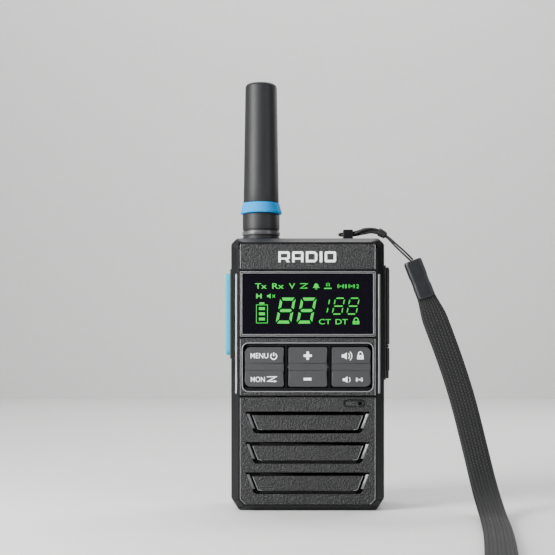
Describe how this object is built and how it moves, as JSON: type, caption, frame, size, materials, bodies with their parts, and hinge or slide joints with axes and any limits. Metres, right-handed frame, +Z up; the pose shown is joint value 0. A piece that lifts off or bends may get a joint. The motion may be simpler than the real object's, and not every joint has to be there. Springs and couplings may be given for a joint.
{
  "type": "handheld two-way radio",
  "caption": "Compact handheld two-way radio with display, rocker keys, stub antenna, push-to-talk bar, belt clip and wrist strap",
  "frame": {"origin": "centre of the flat base that the radio stands on", "axes": "+Z up along the antenna, front faces -Y, +X to the right seen from the front"},
  "size_m": [0.1042, 0.149, 0.1698],
  "materials": {
    "shell_plastic": "moulded, fine texture",
    "panel_plastic": "coarse moulded texture",
    "grey_plastic": "smooth, low sheen",
    "lens_gloss": "polished smoked window",
    "display_glass": "liquid crystal module",
    "accent_plastic": "light blue, satin",
    "antenna_rubber": "smooth, satin",
    "soft_rubber": "matt",
    "bright_metal": "satin silver",
    "steel": "plain",
    "dark_metal": "gunmetal crimp",
    "contact_brass": "plated",
    "board_laminate": "solder mask",
    "cell_wrap": "shrink wrap",
    "webbing": "coarse basket weave",
    "cord_braid": "fine braid",
    "cloth": "dust cloth",
    "cone_paper": "treated paper"
  },
  "bodies": {
    "casing": {"front_shell": "shell_plastic", "rear_shell": "shell_plastic", "shell_gasket": "soft_rubber", "case_screws": "steel", "top_panel": "panel_plastic", "display_frame": "panel_plastic", "display_lens": "lens_gloss", "keypad_bezel": "panel_plastic", "speaker_panel": "panel_plastic", "side_strip_left": "bright_metal", "side_strip_right": "bright_metal", "key_axle": "steel", "key_mat": "soft_rubber", "key_domes": "steel", "main_board": "board_laminate", "shield_can": "steel", "accessory_jack": "shell_plastic", "charging_port": "steel", "ptt_switch": "shell_plastic", "display_module": "display_glass", "speaker_cloth": "cloth", "speaker_gasket": "soft_rubber", "speaker_basket": "steel", "speaker_cone": "cone_paper", "speaker_magnet": "steel", "microphone": "steel", "mic_boot": "soft_rubber", "ptt_surround": "grey_plastic", "side_pad": "shell_plastic", "port_hinge_pin": "steel", "antenna_boot": "antenna_rubber", "antenna_collar": "grey_plastic", "antenna_ring": "accent_plastic", "antenna_sleeve": "antenna_rubber", "antenna_core": "board_laminate", "antenna_nut": "contact_brass", "contact_pins": "contact_brass", "lanyard_eyelet": "shell_plastic", "lanyard_string": "cord_braid", "strap_clamp": "dark_metal", "wrist_strap": "webbing"},
    "talk_bar": {"ptt_button": "accent_plastic"},
    "key_left": {"rocker_key_left": "grey_plastic"},
    "key_centre": {"rocker_key_centre": "grey_plastic"},
    "key_right": {"rocker_key_right": "grey_plastic"},
    "upper_cover": {"port_cover_upper": "grey_plastic"},
    "lower_cover": {"port_cover_lower": "grey_plastic"},
    "battery": {"battery_case": "shell_plastic", "battery_cell": "cell_wrap", "battery_contacts": "contact_brass", "clip_bracket": "shell_plastic", "clip_pin": "steel", "clip_spring": "steel", "clip_screws": "steel"},
    "clip": {"belt_clip": "shell_plastic"}
  },
  "joints": [
    {"name": "talk_press", "type": "slide", "parent": "casing", "child": "talk_bar", "axis": [1, 0, 0], "range_m": [0, 0.001], "stiffness_N_per_m": 1200},
    {"name": "key_left_rock", "type": "hinge", "parent": "casing", "child": "key_left", "pos_m": [-0.0167, -0.0134, 0.0556], "axis": [1, 0, 0], "range_deg": [-3.5, 3.5], "stiffness_Nm_per_rad": 0.4},
    {"name": "key_centre_rock", "type": "hinge", "parent": "casing", "child": "key_centre", "pos_m": [0, -0.0134, 0.0556], "axis": [1, 0, 0], "range_deg": [-3.5, 3.5], "stiffness_Nm_per_rad": 0.4},
    {"name": "key_right_rock", "type": "hinge", "parent": "casing", "child": "key_right", "pos_m": [0.0167, -0.0134, 0.0556], "axis": [1, 0, 0], "range_deg": [-3.5, 3.5], "stiffness_Nm_per_rad": 0.4},
    {"name": "upper_cover_swing", "type": "hinge", "parent": "casing", "child": "upper_cover", "pos_m": [0.03145, -0.0013, 0.079], "axis": [0, 0, 1], "range_deg": [0, 100]},
    {"name": "lower_cover_swing", "type": "hinge", "parent": "casing", "child": "lower_cover", "pos_m": [0.03145, -0.0013, 0.0585], "axis": [0, 0, 1], "range_deg": [0, 100]},
    {"name": "battery_lift", "type": "slide", "parent": "casing", "child": "battery", "axis": [0, 1, 0], "range_m": [0, 0.03]},
    {"name": "clip_open", "type": "hinge", "parent": "battery", "child": "clip", "pos_m": [0, 0.0206, 0.0679], "axis": [1, 0, 0], "range_deg": [0, 14], "stiffness_Nm_per_rad": 0.6}
  ]
}
